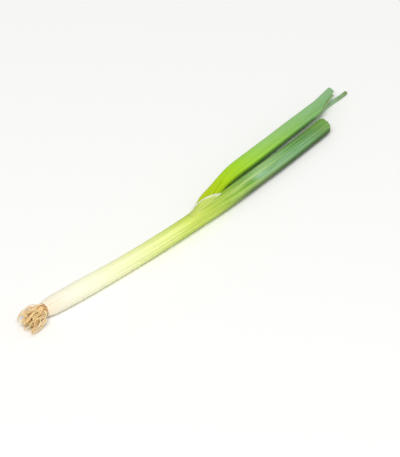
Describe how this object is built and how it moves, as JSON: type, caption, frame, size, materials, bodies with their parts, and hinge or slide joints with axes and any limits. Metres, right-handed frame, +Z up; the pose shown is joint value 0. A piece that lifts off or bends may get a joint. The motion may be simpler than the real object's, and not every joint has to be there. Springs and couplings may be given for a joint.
{
  "type": "spring onion",
  "caption": "One fresh spring onion lying down: a tuft of fine roots, a white sheath shading to green, and cut tubular leaves coming out of its mouth.",
  "frame": {"origin": "middle of the footprint of the whole onion, on the surface it lies on", "axes": "+Z up, +X along the onion from its roots to its cut leaf ends, +Y towards the side that the inner and the young leaf lie on"},
  "size_m": [0.3768, 0.0414, 0.0147],
  "materials": {
    "outer_leaf": "white flesh at the root end, pale yellow-green along the sheath and dark green with a grey bloom on the blade, finely ribbed, satin",
    "inner_leaf": "bright yellow-green at the mouth, shading to sage green at the cut tip, finely ribbed, satin",
    "young_leaf": "bluish green, smooth, satin",
    "root_plate": "dry brown, rough",
    "roots": "dry straw colour, matt"
  },
  "bodies": {
    "root": {"outer_leaf": "outer_leaf", "inner_leaf": "inner_leaf", "young_leaf": "young_leaf", "root_plate": "root_plate", "root_01": "roots", "root_02": "roots", "root_03": "roots", "root_04": "roots", "root_05": "roots", "root_06": "roots", "root_07": "roots", "root_08": "roots", "root_09": "roots", "root_10": "roots", "root_11": "roots", "root_12": "roots", "root_13": "roots", "root_14": "roots", "root_15": "roots", "root_16": "roots", "root_17": "roots", "root_18": "roots", "root_19": "roots", "root_20": "roots", "root_21": "roots", "root_22": "roots", "root_23": "roots", "root_24": "roots", "root_25": "roots", "root_26": "roots", "root_27": "roots", "root_28": "roots"}
  },
  "joints": []
}
